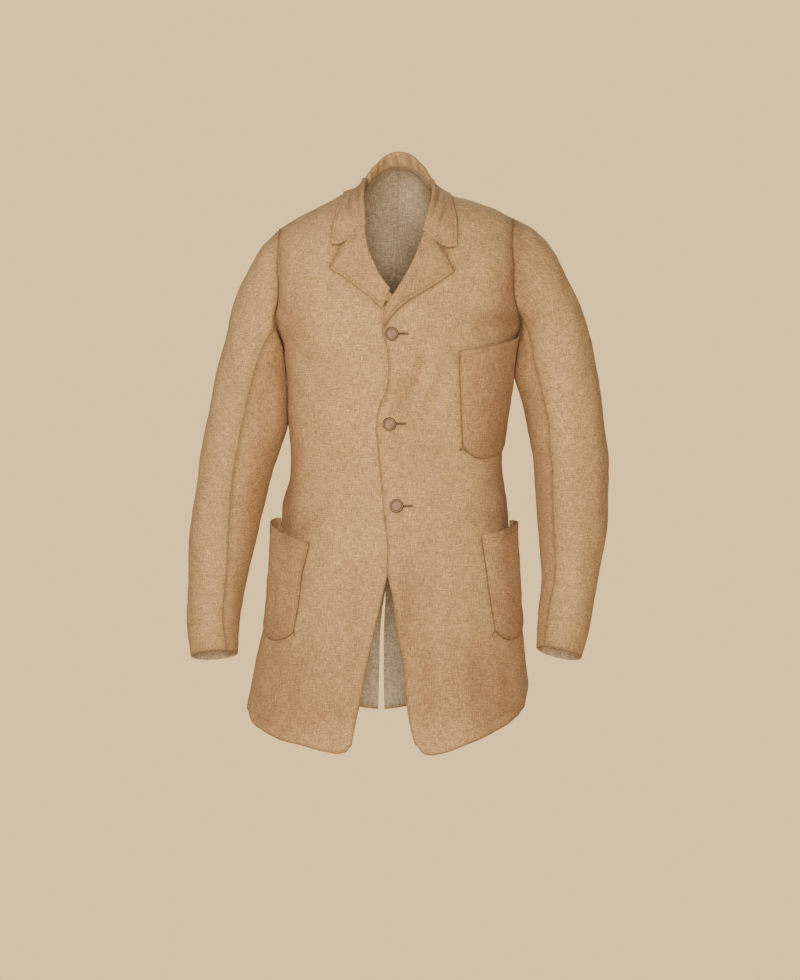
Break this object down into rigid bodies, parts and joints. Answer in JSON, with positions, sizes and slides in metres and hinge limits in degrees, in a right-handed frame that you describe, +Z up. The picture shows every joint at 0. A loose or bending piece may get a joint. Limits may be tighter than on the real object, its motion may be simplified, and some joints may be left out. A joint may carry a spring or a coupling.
{
  "type": "sack coat",
  "caption": "Straight-cut sack coat worn in the nineteenth century, filled out with no wearer, with a turned-down collar, short lapels, patch pockets and cloth-covered buttons.",
  "frame": {"origin": "in the middle of the wearer's neck, at the height where the neck and shoulders carry the coat", "axes": "+Z up; the front faces -Y; the wearer's left is +X"},
  "size_m": [0.6115, 0.2941, 0.8734],
  "materials": {
    "coat_cloth": "matt plain-woven tan cloth with a slight nap",
    "lining_cloth": "matt plain-woven grey-brown lining, smoother than the coat's cloth",
    "button_cloth": "brown cloth drawn tight over a disc, faintly glossy on the rim"
  },
  "bodies": {
    "root": {"front_right": "coat_cloth", "front_left": "coat_cloth", "back_right": "coat_cloth", "back_left": "coat_cloth", "lining_back_right": "lining_cloth", "lining_back_left": "lining_cloth", "sleeve_top_right": "coat_cloth", "sleeve_top_left": "coat_cloth", "sleeve_under_right": "coat_cloth", "sleeve_under_left": "coat_cloth", "collar": "coat_cloth", "lapel_right": "coat_cloth", "lapel_left": "coat_cloth", "pocket_hip_right": "coat_cloth", "pocket_hip_left": "coat_cloth", "pocket_chest": "coat_cloth", "button_top": "button_cloth", "button_middle": "button_cloth", "button_bottom": "button_cloth"}
  },
  "joints": []
}
